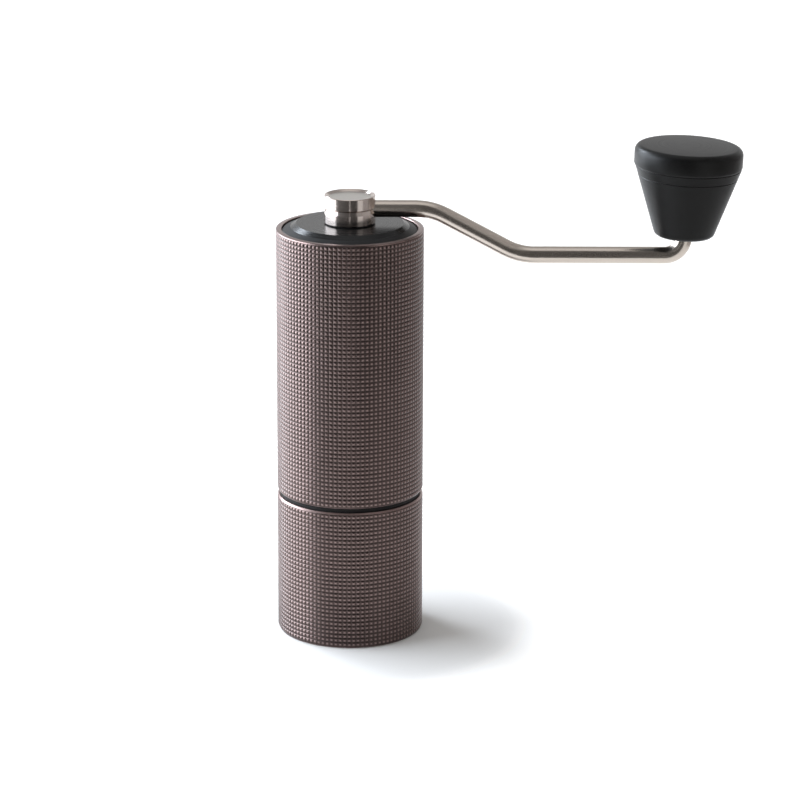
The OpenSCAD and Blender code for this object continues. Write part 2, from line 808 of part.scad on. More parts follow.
// A straight run of rod along +X. It laps over the bends at its ends,
// which are a hair thinner, as a bent rod is.
module rod_run(l, lap_start = 0, lap_end = 0) {
    translate([-lap_start, 0, 0]) rotate([0, 90, 0]) cylinder(r = rod_r, h = l + lap_start + lap_end);
}

// A bend from the origin along +X towards +Y.
module rod_bend(r, a) {
    translate([0, r, 0]) rotate(-90)
        rotate_extrude(angle = a) translate([r, 0]) circle(r = rod_r - bend_slack);
}

// Carries on from the far end of such a bend.
module past_bend(r, a) {
    translate([r * sin(a), r * (1 - cos(a)), 0]) rotate(a) children();
}

module crank_arm() {
    lap = 0.25;
    first_l = bend_start - bend_tan - rod_in;
    outer_l = turn_corner - turn_tan - bend_end - bend_tan;
    spindle_l = spindle_top + knob_lift / cos(knob_lean) - turn_tan;
    color("silver") difference() {
        translate([rod_in, 0, rod_z]) rotate([90, 0, 0]) {
            rod_run(first_l, 0, lap);
            translate([first_l, 0, 0]) mirror([0, 1, 0]) {
                rod_bend(bend_r, rod_slope);
                past_bend(bend_r, rod_slope) {
                    rod_run(slope_l, lap, lap);
                    translate([slope_l, 0, 0]) mirror([0, 1, 0]) {
                        rod_bend(bend_r, rod_slope);
                        past_bend(bend_r, rod_slope) {
                            rod_run(outer_l, lap, lap);
                            translate([outer_l, 0, 0]) {
                                rod_bend(turn_r, turn_a);
                                past_bend(turn_r, turn_a) rod_run(spindle_l, lap, 0);
                            }
                        }
                    }
                }
            }
        }
        on_knob_axis() translate([0, 0, screw_tip - 1]) cylinder(r = screw_r, h = knob_screw_l + 1, $fn = 32);
    }
}

// ---- the knob ----

module on_knob_axis() {
    translate([reach, 0, knob_z]) rotate([0, knob_lean, 0]) children();
}

// radius of the knob's taper at a height above its foot
function taper_r(s) = foot_corner_r + (knob_r - foot_corner_r) * s / taper_h;

module knob_body() {
    color("#262626") on_knob_axis() difference() {
        rotate_extrude() {
            translate([foot_corner_r - foot_round, knob_foot_r]) circle(r = knob_foot_r);
            polygon([
                [0, 0], [foot_corner_r - foot_round, 0], [foot_corner_r - foot_round, knob_foot_r],
                [taper_r(foot_round * cos(taper_a)), foot_round * cos(taper_a)],
                [taper_r(knob_groove_z - knob_groove), knob_groove_z - knob_groove], [taper_r(knob_groove_z) - knob_groove, knob_groove_z],
                [taper_r(knob_groove_z + knob_groove), knob_groove_z + knob_groove],
                [taper_r(knob_body_h - knob_groove), knob_body_h - knob_groove], [taper_r(knob_body_h) - knob_groove, knob_body_h],
                [0, knob_body_h]
            ]);
        }
        translate([0, 0, -1]) cylinder(r = bush_out_r, h = bush_at + bush_l + 1);
        translate([0, 0, bush_at + bush_l]) cylinder(r = well_r, h = knob_h);
        translate([0, 0, knob_body_h - plug_h - 0.2]) cylinder(r = plug_r, h = knob_h);
    }
}

module knob_cap() {
    edge_top = knob_h - knob_dome;
    dome_flat = knob_r - knob_edge;
    dome_r = (dome_flat * dome_flat + knob_dome * knob_dome) / (2 * knob_dome);
    color("#262626") on_knob_axis() difference() {
        union() {
            rotate_extrude() {
                polygon([
                    [0, knob_body_h], [taper_r(knob_body_h) - knob_groove, knob_body_h],
                    [taper_r(knob_body_h + knob_groove), knob_body_h + knob_groove], [knob_r, taper_h],
                    [knob_r, edge_top - knob_edge], [dome_flat, edge_top - knob_edge + eps], [dome_flat, edge_top], [0, edge_top]
                ]);
                intersection() {
                    translate([dome_flat, edge_top - knob_edge]) circle(r = knob_edge);
                    translate([dome_flat - eps, edge_top - knob_edge]) square(knob_edge + 1);
                }
                intersection() {
                    translate([0, knob_h - dome_r]) circle(r = dome_r, $fn = 360);
                    translate([0, edge_top - eps]) square([dome_flat, knob_dome + 1]);
                }
            }
            translate([0, 0, knob_body_h - plug_h]) cylinder(r = plug_r, h = plug_h + eps);
        }
        translate([0, 0, knob_body_h - plug_h - 1]) cylinder(r = well_r, h = plug_h + 2);
    }
}

module knob_bush() {
    color("tan") on_knob_axis() translate([0, 0, bush_at]) ring(bush_out_r, rod_r + run_gap, bush_l);
}

module knob_washer() {
    color("silver") on_knob_axis() translate([0, 0, spindle_top]) ring(knob_washer_r, screw_r, washer_h);
}

module knob_screw() {
    color("black") on_knob_axis() {
        translate([0, 0, screw_tip]) cylinder(r = screw_r, h = knob_screw_l + eps, $fn = 32);
        translate([0, 0, spindle_top + washer_h]) difference() {
            cylinder(r = screw_head_r, h = screw_head_h);
            translate([0, 0, screw_head_h - 1.3]) cylinder(r = 1.4, h = 2, $fn = 6);
        }
    }
}

outer_sleeve();
bean_tube();
top_spider();
top_bearing_outer();
top_bearing_balls();
burr_housing();
low_bearing_outer();
low_bearing_balls();
outer_burr();
burr_pins();
thread_collar();
seam_ring();
catch_cup();
foot_pad();
drive_shaft();
top_bearing_inner();
low_bearing_inner();
shaft_clip();
spring_washer();
burr_spring();
stop_ring();
inner_burr();
click_plate();
adjust_dial();
dial_nut();
detent_balls();
detent_springs();
lid_cover();
lid_seal();
lid_bush();
lid_washer();
crank_hub();
crank_arm();
drive_socket();
hub_screw();
hub_cap();
knob_body();
knob_cap();
knob_bush();
knob_washer();
knob_screw();
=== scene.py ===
# %% [markdown]
# # A hand crank coffee grinder
# The solids of the grinder come from its CAD source as a fixed frame: a cup, a
# sleeve, a lid, a crank with its knob, and the burrs, shaft and bearings inside.
# This lesson dresses that frame. It adds the surface that the solids are too
# plain for, above all the cross-cut grip round the body, and a finish for each
# metal, rubber and nylon part. Lengths are metres here, and +Z is up. Where a
# number is in millimetres, it is multiplied by MM before it is used.

# %% Load the frame
import math

import bmesh
import bpy
from mathutils import Matrix, Vector


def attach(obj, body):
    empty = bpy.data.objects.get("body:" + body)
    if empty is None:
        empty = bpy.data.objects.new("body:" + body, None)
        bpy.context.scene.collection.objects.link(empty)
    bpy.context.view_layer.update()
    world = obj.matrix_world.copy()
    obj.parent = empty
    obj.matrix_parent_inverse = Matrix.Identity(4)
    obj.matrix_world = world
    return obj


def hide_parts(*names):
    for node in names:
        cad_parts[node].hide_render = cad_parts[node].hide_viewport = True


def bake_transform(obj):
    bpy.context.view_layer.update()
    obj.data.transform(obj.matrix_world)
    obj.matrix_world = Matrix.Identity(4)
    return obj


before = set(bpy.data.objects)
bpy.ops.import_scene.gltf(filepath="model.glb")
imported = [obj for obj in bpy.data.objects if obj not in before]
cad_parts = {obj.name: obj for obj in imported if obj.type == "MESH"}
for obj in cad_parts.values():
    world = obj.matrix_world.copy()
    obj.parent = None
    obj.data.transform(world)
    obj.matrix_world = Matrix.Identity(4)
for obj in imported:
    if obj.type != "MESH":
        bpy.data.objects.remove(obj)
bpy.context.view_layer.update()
MM = 0.001

# %% [markdown]
# ## The camera
# The grinder is seen from a little over a metre away through a long lens, looking
# slightly down, so that the upright lines of the body stay nearly upright. The
# camera is built from its three axes: where it looks, what is up, and what is to
# its right, with a very small roll.

# %% Camera
PICTURE = 800
FOCAL_PIXELS = 3609.1
FILM_WIDTH = 36
CAMERA_PLACE = (0.01773, -1.2268, 0.4553)
pitch = math.radians(16.816)
roll = math.radians(0.193)
ahead = Vector((0, math.cos(pitch), -math.sin(pitch)))
above = Vector((0, math.sin(pitch), math.cos(pitch)))
aside = Vector((1, 0, 0))
camera_x = aside * math.cos(roll) + above * math.sin(roll)
camera_y = above * math.cos(roll) - aside * math.sin(roll)
lens = bpy.data.cameras.new("studio_camera")
lens.sensor_width = FILM_WIDTH
lens.lens = FOCAL_PIXELS / PICTURE * FILM_WIDTH
camera = bpy.data.objects.new("studio_camera", lens)
bpy.context.scene.collection.objects.link(camera)
axes = Matrix((camera_x, camera_y, -ahead)).transposed().to_4x4()
camera.matrix_world = Matrix.Translation(CAMERA_PLACE) @ axes
bpy.context.scene.camera = camera
bpy.context.scene.view_settings.view_transform = "Standard"
print("lens, mm:", round(lens.lens, 1))

# %% [markdown]
# ## The floor and the background
# The floor and the background have to look white, and yet the light that they give
# has to be plain and dim, or the grinder would lose its shadow and its dark sides.
# Both do it with the same two helpers. One tells the rays that look at a surface,
# or mirror it, from the rays that gather light. The other turns a distance or a
# height into a brightness, along a curve through a few points.

# %% Helpers for the studio
def add_seen_by_eye(tree):
    """1 for rays that show the surface itself or mirror it, and 0 for light"""
    path = tree.nodes.new("ShaderNodeLightPath")
    seen = path.outputs["Is Camera Ray"]
    for other in ("Is Glossy Ray", "Is Transmission Ray"):
        both = tree.nodes.new("ShaderNodeMath")
        both.operation = "MAXIMUM"
        tree.links.new(seen, both.inputs[0])
        tree.links.new(path.outputs[other], both.inputs[1])
        seen = both.outputs["Value"]
    return seen


def add_curve(tree, source, dots, handles):
    """the brightness for a value from 0 to 1, on a curve through the dots"""
    node = tree.nodes.new("ShaderNodeFloatCurve")
    curve = node.mapping.curves[0]
    for dot in dots[1:-1]:
        curve.points.new(*dot)
    curve.points[0].location = dots[0]
    curve.points[-1].location = dots[-1]
    for point in curve.points:
        point.handle_type = handles
    node.mapping.extend = "HORIZONTAL"
    node.mapping.update()
    tree.links.new(source, node.inputs["Value"])
    return node.outputs["Value"]


print("studio helpers ready")

# %% [markdown]
# The floor is one wide pale sheet. Seen by the camera, and in the metal, it glows,
# so that it comes out nearly white. The glow depends on how far a place is from
# the foot of the grinder: it's weak close by, where the soft shadow lies, so a
# painted shade round the foot deepens that shadow; it rises quickly outside that,
# and is strongest from a metre away on.

# %% Floor
FLOOR_HALF = 12
# weak glow within 45 mm of the foot: painted shade round the grinder
FLOOR_GLOW = (
    (0, 0.08), (0.045, 0.08), (0.062, 0.27), (0.08, 0.5),
    (0.11, 0.54), (0.3, 0.45), (0.6, 0.45), (1, 0.77),
)
floor_mesh = bmesh.new()
bmesh.ops.create_grid(floor_mesh, x_segments=1, y_segments=1, size=FLOOR_HALF)
floor_data = bpy.data.meshes.new("floor")
floor_mesh.to_mesh(floor_data)
floor_mesh.free()
floor = bpy.data.objects.new("floor", floor_data)
bpy.context.scene.collection.objects.link(floor)
paper = bpy.data.materials.new("white_paper")
paper.use_nodes = True
tree = paper.node_tree
paper_shader = tree.nodes["Principled BSDF"]
paper_shader.inputs["Base Color"].default_value = (0.72, 0.703, 0.682, 1)
paper_shader.inputs["Roughness"].default_value = 0.9
paper_shader.inputs["Specular IOR Level"].default_value = 0
paper_shader.inputs["Emission Color"].default_value = (1, 1, 1, 1)
where = tree.nodes.new("ShaderNodeTexCoord")
distance = tree.nodes.new("ShaderNodeVectorMath")
distance.operation = "LENGTH"
tree.links.new(where.outputs["Object"], distance.inputs[0])
glow = tree.nodes.new("ShaderNodeMath")
glow.operation = "MULTIPLY"
tree.links.new(add_seen_by_eye(tree), glow.inputs[0])
tree.links.new(add_curve(tree, distance.outputs["Value"], FLOOR_GLOW, "AUTO"), glow.inputs[1])
tree.links.new(glow.outputs["Value"], paper_shader.inputs["Emission Strength"])
floor_data.materials.append(paper)
print("floor, m:", 2 * FLOOR_HALF)

# %% [markdown]
# The world is white to the eye and in reflections, and a calm grey as a source of
# light. Only a band of it, between the top of the paper and the lamps overhead, is
# grey like the room, which draws a darker line along the top of the rod.

# %% World
LIGHT_LEVEL = 0.3
BACKDROP_WHITE = ((0, 1), (0.3, 1), (0.45, 0.5), (0.85, 0.5), (0.96, 1), (1, 1))
world = bpy.data.worlds.new("studio")
bpy.context.scene.world = world
world.use_nodes = True
tree = world.node_tree
light = tree.nodes["Background"]
light.inputs["Color"].default_value = (1, 1, 1, 1)
light.inputs["Strength"].default_value = LIGHT_LEVEL
backdrop = tree.nodes.new("ShaderNodeBackground")
backdrop.inputs["Color"].default_value = (1, 1, 1, 1)
way = tree.nodes.new("ShaderNodeTexCoord")
way_parts = tree.nodes.new("ShaderNodeSeparateXYZ")
tree.links.new(way.outputs["Generated"], way_parts.inputs["Vector"])
white = add_curve(tree, way_parts.outputs["Z"], BACKDROP_WHITE, "VECTOR")
tree.links.new(white, backdrop.inputs["Strength"])
either = tree.nodes.new("ShaderNodeMixShader")
tree.links.new(add_seen_by_eye(tree), either.inputs["Fac"])
tree.links.new(light.outputs["Background"], either.inputs[1])
tree.links.new(backdrop.outputs["Background"], either.inputs[2])
tree.links.new(either.outputs["Shader"], tree.nodes["World Output"].inputs["Surface"])
print("world light:", LIGHT_LEVEL)

# %% [markdown]
# Three soft lamps do the lighting. A broad one stands on the left, level with the
# grinder, and draws the bright stripe down the side of the grip. The key is small
# and strong, behind it on the same side: it lights the bevel of the lid and lays
# the shadow to the right. A wide weak one hangs overhead. The two on the left are
# a little blue, as daylight is.

# %% Lamps
LAMP_TARGET = Vector((0, 0, 0.08))


def hang_lamp(name, place, wide, high, watts, colour):
    """a rectangular softbox that faces the middle of the grinder"""
    lamp = bpy.data.lights.new(name, "AREA")
    lamp.color = colour
    lamp.shape = "RECTANGLE"
    lamp.size = wide
    lamp.size_y = high
    lamp.energy = watts
    box = bpy.data.objects.new(name, lamp)
    bpy.context.scene.collection.objects.link(box)
    towards = LAMP_TARGET - Vector(place)
    box.rotation_euler = towards.to_track_quat("-Z", "Y").to_euler()
    box.location = place
    box.visible_camera = False
    print("lamp", name, "watts", watts)
    return box


daylight = (0.82, 0.9, 1.0)
plain_light = (1, 1, 1)
hang_lamp("side_softbox", (-0.62, 0.1, 0.3), wide=1.0, high=0.6, watts=15.5, colour=daylight)
hang_lamp("key_softbox", (-0.48, 0.53, 0.58), wide=0.26, high=0.26, watts=4, colour=daylight)
overhead = hang_lamp("top_softbox", (-0.3, 0.3, 1.5), wide=2, high=2, watts=8, colour=plain_light)
overhead.visible_glossy = False

# %% [markdown]
# Polished metal shows what stands round it, so a studio puts up cards. Two dark
# ones stand in front, with a narrow gap between them: they make the dark middle
# of the hub and the thin bright line down it. A grey one on the right keeps that
# side of the grip from going pale.

# %% Cards
CARD_ROW = -0.25
CARD_GAP = 0.012
CARD_HEIGHT = 0.85


def stand_card(name, start, end, height, colour):
    """an upright card between two places on the floor, which only reflections show"""
    run = Vector(end) - Vector(start)
    middle = (Vector(start) + Vector(end)) / 2
    work = bmesh.new()
    bmesh.ops.create_grid(work, x_segments=1, y_segments=1, size=0.5)
    upright = Matrix.Rotation(math.radians(90), 3, "X")
    bmesh.ops.rotate(work, cent=(0, 0, 0), matrix=upright, verts=work.verts)
    bmesh.ops.scale(work, vec=(run.length, 1, height), verts=work.verts)
    turn = Matrix.Rotation(math.atan2(run.y, run.x), 3, "Z")
    bmesh.ops.rotate(work, cent=(0, 0, 0), matrix=turn, verts=work.verts)
    bmesh.ops.translate(work, vec=(middle.x, middle.y, height / 2), verts=work.verts)
    data = bpy.data.meshes.new(name)
    work.to_mesh(data)
    work.free()
    felt = bpy.data.materials.new(name)
    felt.use_nodes = True
    felt_shader = felt.node_tree.nodes["Principled BSDF"]
    felt_shader.inputs["Base Color"].default_value = (*colour, 1)
    felt_shader.inputs["Roughness"].default_value = 1
    data.materials.append(felt)
    card = bpy.data.objects.new(name, data)
    bpy.context.scene.collection.objects.link(card)
    card.visible_camera = False
    card.visible_diffuse = False
    card.visible_shadow = False
    print(name, "is", round(run.length, 3), "m wide")


dark_felt = (0.06, 0.055, 0.05)
grey_felt = (0.3, 0.27, 0.25)
gap_left = (-CARD_GAP / 2, CARD_ROW)
gap_right = (CARD_GAP / 2, CARD_ROW)
stand_card("dark_card_left", (-0.545, CARD_ROW), gap_left, CARD_HEIGHT, dark_felt)
stand_card("dark_card_right", gap_right, (0.175, CARD_ROW), CARD_HEIGHT, dark_felt)
stand_card("grey_card", (0.35, -0.2), (0.35, 0.25), 1.0, grey_felt)

# %% [markdown]
# ## The finishes
# Every finish starts from the same three facts: its colour, whether it is a metal,
# and how rough it is. Then comes what makes it believable up close: a slight
# unevenness of the colour, a grain or the fine lines that a tool leaves, and edges
# that are rubbed a little brighter. The patterns read Object coordinates, so they
# stay on the piece as it moves.

# %% Start a finish and place a pattern
def new_finish(name, colour, metal, rough):
    """a plain finish; its constants sit on the shader's own sockets"""
    finish = bpy.data.materials.new(name)
    finish.use_nodes = True
    shader = finish.node_tree.nodes["Principled BSDF"]
    shader.inputs["Base Color"].default_value = (*colour, 1)
    shader.inputs["Metallic"].default_value = metal
    shader.inputs["Roughness"].default_value = rough
    return finish


def place_on_piece(finish, stretch=(1, 1, 1), centre=(0, 0, 0)):
    """Object coordinates, centred on a piece and stretched along its axes"""
    tree = finish.node_tree
    coords = tree.nodes.new("ShaderNodeTexCoord")
    mapping = tree.nodes.new("ShaderNodeMapping")
    mapping.inputs["Location"].default_value = [-c * s for c, s in zip(centre, stretch)]
    mapping.inputs["Scale"].default_value = stretch
    tree.links.new(coords.outputs["Object"], mapping.inputs["Vector"])
    return mapping.outputs["Vector"]


def turn_on_piece(finish, centre=(0, 0)):
    """coordinates that are the same all the way round an upright axis"""
    tree = finish.node_tree
    flat = place_on_piece(finish, centre=(*centre, 0))
    parts = tree.nodes.new("ShaderNodeSeparateXYZ")
    tree.links.new(flat, parts.inputs["Vector"])
    across = tree.nodes.new("ShaderNodeCombineXYZ")
    tree.links.new(parts.outputs["X"], across.inputs["X"])
    tree.links.new(parts.outputs["Y"], across.inputs["Y"])
    radius = tree.nodes.new("ShaderNodeVectorMath")
    radius.operation = "LENGTH"
    tree.links.new(across.outputs["Vector"], radius.inputs[0])
    round_piece = tree.nodes.new("ShaderNodeCombineXYZ")
    tree.links.new(radius.outputs["Value"], round_piece.inputs["X"])
    tree.links.new(parts.outputs["Z"], round_piece.inputs["Z"])
    return round_piece.outputs["Vector"]


print("patterns can be placed")

# %% [markdown]
# A noise texture is the one pattern that all the finishes share. Stretched it
# gives brushed lines, taken round an axis it gives a lathe's rings, and left as it
# is it gives a blasted grain. The next helpers make it and turn it into a colour.

# %% Patterns and colours
def add_noise(finish, place, per_metre, detail=3):
    """an uneven pattern between 0 and 1 of so many grains to the metre"""
    noise = finish.node_tree.nodes.new("ShaderNodeTexNoise")
    noise.inputs["Scale"].default_value = per_metre
    noise.inputs["Detail"].default_value = detail
    finish.node_tree.links.new(place, noise.inputs["Vector"])
    return noise.outputs["Fac"]


def spread_between(finish, pattern, low, high, start=0.3, end=0.7):
    """the pattern's middle range, from start to end, stretched from low to high"""
    spread = finish.node_tree.nodes.new("ShaderNodeMapRange")
    spread.inputs["From Min"].default_value = start
    spread.inputs["From Max"].default_value = end
    spread.inputs["To Min"].default_value = low
    spread.inputs["To Max"].default_value = high
    finish.node_tree.links.new(pattern, spread.inputs["Value"])
    return spread.outputs["Result"]


def mix_colours(finish, amount, first, second):
    """a colour between two: each is a colour or another node's output"""
    tree = finish.node_tree
    mix = tree.nodes.new("ShaderNodeMix")
    mix.data_type = "RGBA"
    tree.links.new(amount, mix.inputs["Factor"])
    for socket, colour in zip((mix.inputs[6], mix.inputs[7]), (first, second)):
        if isinstance(colour, tuple):
            socket.default_value = (*colour, 1)
        else:
            tree.links.new(colour, socket)
    return mix.outputs[2]


def times(colour, share):
    """the same colour, paler or deeper"""
    return tuple(part * share for part in colour)


print("patterns and colours ready")

# %% [markdown]
# The last helpers put a pattern to work: as colour, as roughness, as relief, or as
# wear on the edges. For the wear, the Bevel node gives the direction that a face
# would have if its edges were rounded. Where that differs from the direction of
# the face itself, there is an edge.

# %% Put patterns to work
EDGE_WIDTH = 0.25 * MM


def set_colour(finish, colour):
    """lets a pattern give the colour"""
    shader = finish.node_tree.nodes["Principled BSDF"]
    finish.node_tree.links.new(colour, shader.inputs["Base Color"])


def set_roughness(finish, pattern, low, high):
    """lets a pattern give the roughness, between two values"""
    shader = finish.node_tree.nodes["Principled BSDF"]
    rough = spread_between(finish, pattern, low, high)
    finish.node_tree.links.new(rough, shader.inputs["Roughness"])


def add_bump(finish, pattern, depth, strength=0.5):
    """raises the pattern by a depth in metres"""
    tree = finish.node_tree
    bump = tree.nodes.new("ShaderNodeBump")
    bump.inputs["Strength"].default_value = strength
    bump.inputs["Distance"].default_value = depth
    tree.links.new(pattern, bump.inputs["Height"])
    tree.links.new(bump.outputs["Normal"], tree.nodes["Principled BSDF"].inputs["Normal"])


def find_edges(finish):
    """1 on the sharp edges of a piece and 0 on its faces"""
    tree = finish.node_tree
    rounded = tree.nodes.new("ShaderNodeBevel")
    rounded.samples = 4
    rounded.inputs["Radius"].default_value = EDGE_WIDTH
    face = tree.nodes.new("ShaderNodeNewGeometry")
    agree = tree.nodes.new("ShaderNodeVectorMath")
    agree.operation = "DOT_PRODUCT"
    tree.links.new(rounded.outputs["Normal"], agree.inputs[0])
    tree.links.new(face.outputs["Normal"], agree.inputs[1])
    return spread_between(finish, agree.outputs["Value"], 1, 0, start=0.9, end=0.995)


print("finish helpers ready")

# %% [markdown]
# ### Bronze anodised aluminium
# The cup and the sleeve are aluminium, blasted, anodised and dyed a dark brown
# grey. The pads keep the dye's colour, and the grooves between them are painted a
# far darker colour: painted shade, for the shade that falls into the grooves. The
# pad mask comes with the mesh, as an attribute that is 1 on the pads and 0 in the
# grooves.

# %% Bronze finish
PAD_DYE = ((0.215, 0.151, 0.14), (0.255, 0.181, 0.168))
# the second pair is painted shade for the grooves, far darker than the dye of the pads
GROOVE_SHADE = ((0.046, 0.031, 0.028), (0.056, 0.039, 0.035))


def make_bronze():
    """anodised bronze, with painted shade in the grooves"""
    finish = new_finish("bronze_anodised", (0.09, 0.07, 0.066), 1.0, 0.4)
    tree = finish.node_tree
    shader = tree.nodes["Principled BSDF"]
    shader.inputs["Coat Weight"].default_value = 0.2
    shader.inputs["Coat Roughness"].default_value = 0.4
    shader.inputs["Coat IOR"].default_value = 1.6
    pads = tree.nodes.new("ShaderNodeAttribute")
    pads.attribute_name = "pad"
    soft = add_noise(finish, place_on_piece(finish), 60)
    dye = mix_colours(finish, soft, *PAD_DYE)
    # painted shade: the mask turns the grooves and their slopes to the dark groove colour
    groove = mix_colours(finish, soft, *GROOVE_SHADE)
    set_colour(finish, mix_colours(finish, pads.outputs["Fac"], groove, dye))
    blast = add_noise(finish, place_on_piece(finish), 9000, 2)
    set_roughness(finish, blast, 0.28, 0.36)
    add_bump(finish, blast, 0.01 * MM)
    return finish


bronze = make_bronze()
print("finish:", bronze.name)

# %% [markdown]
# ### Satin black
# The lid, the collar and the dial are black anodised aluminium, and the knob is
# moulded in black plastic. They look alike, so one helper makes all three blacks.
# The lid is turned and lightly blasted, with enough shine to mirror the hub as a
# soft blur. Its sloping border is only blasted, so it's rougher than the middle.

# %% Black finishes
KNOB_CENTRE = (0.117, 0)
LID_MIDDLE_RADIUS = 20.85 * MM
BORDER_ROUGHNESS = 0.2


def make_black(name, colour, low, high, shine, centre=(0, 0)):
    """a satin black, with faint rings round an axis and rubbed edges"""
    finish = new_finish(name, colour, 0.0, low)
    shader = finish.node_tree.nodes["Principled BSDF"]
    shader.inputs["Specular IOR Level"].default_value = shine
    rings = add_noise(finish, turn_on_piece(finish, centre), 5000, 1)
    soft = add_noise(finish, place_on_piece(finish), 80)
    base = mix_colours(finish, soft, colour, times(colour, 1.25))
    rubbed = tuple(part * 3 + 0.01 for part in colour)
    set_colour(finish, mix_colours(finish, find_edges(finish), base, rubbed))
    set_roughness(finish, rings, low, high)
    add_bump(finish, rings, 0.001 * MM, strength=0.3)
    return finish


def roughen_border(finish, radius, extra):
    """adds roughness outside a radius"""
    tree = finish.node_tree
    across = turn_on_piece(finish)
    parts = tree.nodes.new("ShaderNodeSeparateXYZ")
    tree.links.new(across, parts.inputs["Vector"])
    outside = radius + 0.1 * MM
    border = spread_between(finish, parts.outputs["X"], 0, extra, start=radius, end=outside)
    rough = tree.nodes["Principled BSDF"].inputs["Roughness"]
    both = tree.nodes.new("ShaderNodeMath")
    both.operation = "ADD"
    tree.links.new(rough.links[0].from_socket, both.inputs[0])
    tree.links.new(border, both.inputs[1])
    tree.links.new(both.outputs["Value"], rough)


lid_black = make_black("black_lid", (0.005, 0.005, 0.0052), 0.23, 0.28, shine=0.2)
knob_black = make_black("black_knob", (0.005, 0.0048, 0.0046), 0.36, 0.42, 0.16, KNOB_CENTRE)
collar_black = make_black("black_anodised", (0.012, 0.012, 0.0125), 0.32, 0.42, shine=0.5)
roughen_border(lid_black, LID_MIDDLE_RADIUS, BORDER_ROUGHNESS)
print("black finishes:", lid_black.name, knob_black.name, collar_black.name)

# %% [markdown]
# ### Steel, brass, nylon and rubber
# Stainless steel is nearly the same colour everywhere; what tells the parts apart
# is the way that each was worked. The hub was turned, so its fine lines run round
# it. The rod was brushed along its length, and the balls and races are polished.
# Each way of working is a helper, and all that has an even grain shares one, from
# blasted metal and nylon to the polished balls, where the grain is finest.

# %% Ways of working
def make_turned(name, colour, low, high, per_metre, depth):
    """metal with the fine rings of a lathe tool"""
    finish = new_finish(name, colour, 1.0, low)
    rings = add_noise(finish, turn_on_piece(finish), per_metre, 2)
    set_colour(finish, mix_colours(finish, rings, times(colour, 0.82), colour))
    set_roughness(finish, rings, low, high)
    add_bump(finish, rings, depth)
    return finish


def make_brushed(name, colour, low, high, per_metre, depth):
    """metal with fine lines along the X axis"""
    finish = new_finish(name, colour, 1.0, low)
    lines = add_noise(finish, place_on_piece(finish, stretch=(0.02, 1, 1)), per_metre, 2)
    set_colour(finish, mix_colours(finish, lines, times(colour, 0.94), colour))
    set_roughness(finish, lines, low, high)
    add_bump(finish, lines, depth)
    return finish


def make_blasted(name, colour, low, high, per_metre, depth, metal=1.0):
    """an even fine grain, as blasting, casting or moulding leaves"""
    finish = new_finish(name, colour, metal, low)
    grain = add_noise(finish, place_on_piece(finish), per_metre)
    soft = add_noise(finish, place_on_piece(finish), 120)
    set_colour(finish, mix_colours(finish, soft, times(colour, 0.8), colour))
    set_roughness(finish, grain, low, high)
    add_bump(finish, grain, depth)
    return finish


print("turned, brushed and blasted finishes ready")

# %% [markdown]
# The rows below read as a list from the workshop: the name, the colour, the least
# and the greatest roughness, how many lines or grains there are to the metre, and
# how deep they are. The solids come with plain materials of the same names, so
# Blender adds a number to the new ones, and only the part before the dot counts.

# %% The other finishes
steel = (0.62, 0.6, 0.57)
pale_steel = (0.66, 0.66, 0.67)
blasted_metal = (0.5, 0.5, 0.51)
made = [
    bronze, lid_black, knob_black, collar_black,
    make_turned("satin_steel", steel, 0.26, 0.36, 1500, 0.006 * MM),
    make_turned("brushed_hub", (0.52, 0.455, 0.42), 0.14, 0.2, 3500, 0.004 * MM),
    make_turned("brushed_cap", (0.5, 0.475, 0.445), 0.3, 0.36, 3000, 0.006 * MM),
    make_turned("brass_nut", (0.75, 0.52, 0.22), 0.2, 0.3, 2000, 0.005 * MM),
    make_brushed("brushed_rod", (0.55, 0.49, 0.435), 0.22, 0.26, 6000, 0.0004 * MM),
    make_blasted("bearing_steel", pale_steel, 0.08, 0.16, 900, 0.001 * MM),
    make_blasted("spring_steel", (0.5, 0.48, 0.45), 0.24, 0.34, 1200, 0.004 * MM),
    make_blasted("burr_steel", blasted_metal, 0.26, 0.36, 2500, 0.006 * MM),
    make_blasted("grey_aluminium", blasted_metal, 0.36, 0.46, 5000, 0.01 * MM),
    make_blasted("black_screw", (0.03, 0.03, 0.032), 0.35, 0.45, 2000, 0.005 * MM, metal=0.6),
    make_blasted("nylon_bush", (0.72, 0.68, 0.58), 0.42, 0.5, 1500, 0.008 * MM, metal=0.0),
    make_blasted("black_washer", (0.03, 0.03, 0.03), 0.45, 0.55, 3000, 0.008 * MM, metal=0.0),
    make_blasted("black_rubber", (0.009, 0.0075, 0.007), 0.6, 0.72, 4000, 0.01 * MM, metal=0.0),
]
finishes = {finish.name.split(".")[0]: finish for finish in made}
rubber_shader = finishes["black_rubber"].node_tree.nodes["Principled BSDF"]
rubber_shader.inputs["Specular IOR Level"].default_value = 0.2
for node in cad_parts.values():
    for place in node.material_slots:
        place.material = finishes[place.material.name.split(".")[0]]
print("finishes:", len(finishes))

# %% [markdown]
# ## The cross-cut grip
# The sleeve and the cup carry a grip of small square pads. On the real parts a
# lathe cuts rings round the wall, and a second tool cuts upright grooves across
# them. Drawing thousands of pads by hand is out of the question, so the wall is
# spun from one outline, with a point between the rings of pads. That gives a mesh of
# square cells, and two insets turn every cell into a pad with a soft top: the
# first pushes the cell outwards and leaves the slopes of the grooves, the second
# rounds its top edge.

# %% Outlines
COLUMNS = 102
WALL_RADIUS, FOOT_RADIUS, GROOVE_DEPTH = 26, 25.5, 0.3
TOUCH = 0.001 * MM
groove_floor = WALL_RADIUS - GROOVE_DEPTH


def grip_points(low, high, rings):
    """points up the floor of the grooves, at both ends of every ring of pads"""
    heights = [low + (high - low) * i / rings for i in range(rings + 1)]
    return [(groove_floor, height) for height in heights]


